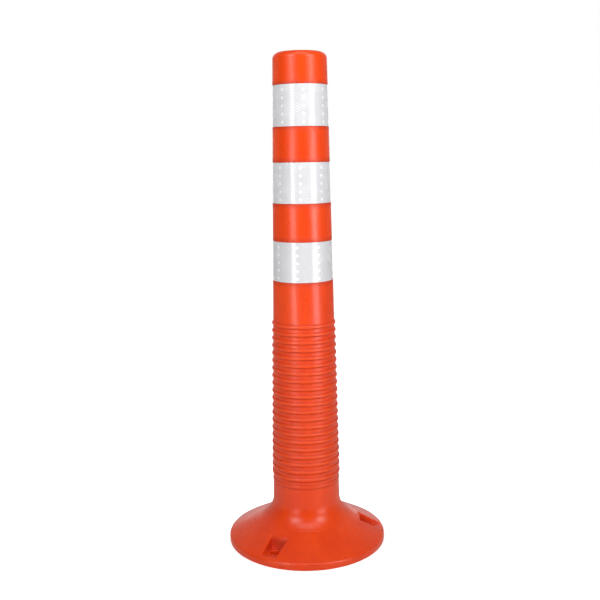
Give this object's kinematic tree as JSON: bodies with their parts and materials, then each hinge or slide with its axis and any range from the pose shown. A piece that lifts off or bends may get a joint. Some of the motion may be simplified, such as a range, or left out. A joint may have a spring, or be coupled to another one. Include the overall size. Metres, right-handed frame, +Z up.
{
  "type": "flexible delineator post",
  "caption": "Free-standing or bolt-down flexible delineator post: round flange, ribbed zone that bends and springs back, closed tapered tube with reflective bands.",
  "frame": {"origin": "centre of the flange's underside, on the surface that the post stands on", "axes": "+Z up along the post; +X from the post's axis to the middle of one bolt pocket"},
  "size_m": [0.2, 0.2, 0.611],
  "materials": {
    "orange_elastomer": "moulded polyurethane elastomer, satin sheen",
    "reflective_sheeting": "white prismatic retroreflective sheeting, glossy face film"
  },
  "bodies": {
    "foot": {"base_flange": "orange_elastomer"},
    "ring_1": {"flex_ring_1": "orange_elastomer"},
    "ring_2": {"flex_ring_2": "orange_elastomer"},
    "ring_3": {"flex_ring_3": "orange_elastomer"},
    "ring_4": {"flex_ring_4": "orange_elastomer"},
    "ring_5": {"flex_ring_5": "orange_elastomer"},
    "ring_6": {"flex_ring_6": "orange_elastomer"},
    "ring_7": {"flex_ring_7": "orange_elastomer"},
    "ring_8": {"flex_ring_8": "orange_elastomer"},
    "ring_9": {"flex_ring_9": "orange_elastomer"},
    "ring_10": {"flex_ring_10": "orange_elastomer"},
    "ring_11": {"flex_ring_11": "orange_elastomer"},
    "post_top": {"upper_tube": "orange_elastomer", "top_band": "reflective_sheeting", "middle_band": "reflective_sheeting", "bottom_band": "reflective_sheeting"}
  },
  "joints": [
    {"name": "bend_over_x_1", "type": "hinge", "parent": "foot", "child": "ring_1", "pos_m": [0, 0, 0.0765], "axis": [1, 0, 0], "range_deg": [-13.4, 13.4], "stiffness_Nm_per_rad": 100, "deforming": ["flex_ring_1"]},
    {"name": "bend_over_y_1", "type": "hinge", "parent": "ring_1", "child": "ring_2", "pos_m": [0, 0, 0.0958], "axis": [0, 1, 0], "range_deg": [-13.4, 13.4], "stiffness_Nm_per_rad": 100, "deforming": ["flex_ring_2"]},
    {"name": "bend_over_x_2", "type": "hinge", "parent": "ring_2", "child": "ring_3", "pos_m": [0, 0, 0.1151], "axis": [1, 0, 0], "range_deg": [-13.4, 13.4], "stiffness_Nm_per_rad": 100, "deforming": ["flex_ring_3"]},
    {"name": "bend_over_y_2", "type": "hinge", "parent": "ring_3", "child": "ring_4", "pos_m": [0, 0, 0.1344], "axis": [0, 1, 0], "range_deg": [-13.4, 13.4], "stiffness_Nm_per_rad": 100, "deforming": ["flex_ring_4"]},
    {"name": "bend_over_x_3", "type": "hinge", "parent": "ring_4", "child": "ring_5", "pos_m": [0, 0, 0.1537], "axis": [1, 0, 0], "range_deg": [-13.4, 13.4], "stiffness_Nm_per_rad": 100, "deforming": ["flex_ring_5"]},
    {"name": "bend_over_y_3", "type": "hinge", "parent": "ring_5", "child": "ring_6", "pos_m": [0, 0, 0.173], "axis": [0, 1, 0], "range_deg": [-13.4, 13.4], "stiffness_Nm_per_rad": 100, "deforming": ["flex_ring_6"]},
    {"name": "bend_over_x_4", "type": "hinge", "parent": "ring_6", "child": "ring_7", "pos_m": [0, 0, 0.1923], "axis": [1, 0, 0], "range_deg": [-13.4, 13.4], "stiffness_Nm_per_rad": 100, "deforming": ["flex_ring_7"]},
    {"name": "bend_over_y_4", "type": "hinge", "parent": "ring_7", "child": "ring_8", "pos_m": [0, 0, 0.2116], "axis": [0, 1, 0], "range_deg": [-13.4, 13.4], "stiffness_Nm_per_rad": 100, "deforming": ["flex_ring_8"]},
    {"name": "bend_over_x_5", "type": "hinge", "parent": "ring_8", "child": "ring_9", "pos_m": [0, 0, 0.2309], "axis": [1, 0, 0], "range_deg": [-13.4, 13.4], "stiffness_Nm_per_rad": 100, "deforming": ["flex_ring_9"]},
    {"name": "bend_over_y_5", "type": "hinge", "parent": "ring_9", "child": "ring_10", "pos_m": [0, 0, 0.2502], "axis": [0, 1, 0], "range_deg": [-13.4, 13.4], "stiffness_Nm_per_rad": 100, "deforming": ["flex_ring_10"]},
    {"name": "bend_over_x_6", "type": "hinge", "parent": "ring_10", "child": "ring_11", "pos_m": [0, 0, 0.2695], "axis": [1, 0, 0], "range_deg": [-13.4, 13.4], "stiffness_Nm_per_rad": 100, "deforming": ["flex_ring_11"]},
    {"name": "bend_over_y_6", "type": "hinge", "parent": "ring_11", "child": "post_top", "pos_m": [0, 0, 0.2888], "axis": [0, 1, 0], "range_deg": [-13.4, 13.4], "stiffness_Nm_per_rad": 100}
  ],
  "couplings": [
    {"joint": "bend_over_x_2", "follows": "bend_over_x_1", "ratio": 1},
    {"joint": "bend_over_y_2", "follows": "bend_over_y_1", "ratio": 1},
    {"joint": "bend_over_x_3", "follows": "bend_over_x_1", "ratio": 1},
    {"joint": "bend_over_y_3", "follows": "bend_over_y_1", "ratio": 1},
    {"joint": "bend_over_x_4", "follows": "bend_over_x_1", "ratio": 1},
    {"joint": "bend_over_y_4", "follows": "bend_over_y_1", "ratio": 1},
    {"joint": "bend_over_x_5", "follows": "bend_over_x_1", "ratio": 1},
    {"joint": "bend_over_y_5", "follows": "bend_over_y_1", "ratio": 1},
    {"joint": "bend_over_x_6", "follows": "bend_over_x_1", "ratio": 1},
    {"joint": "bend_over_y_6", "follows": "bend_over_y_1", "ratio": 1}
  ]
}
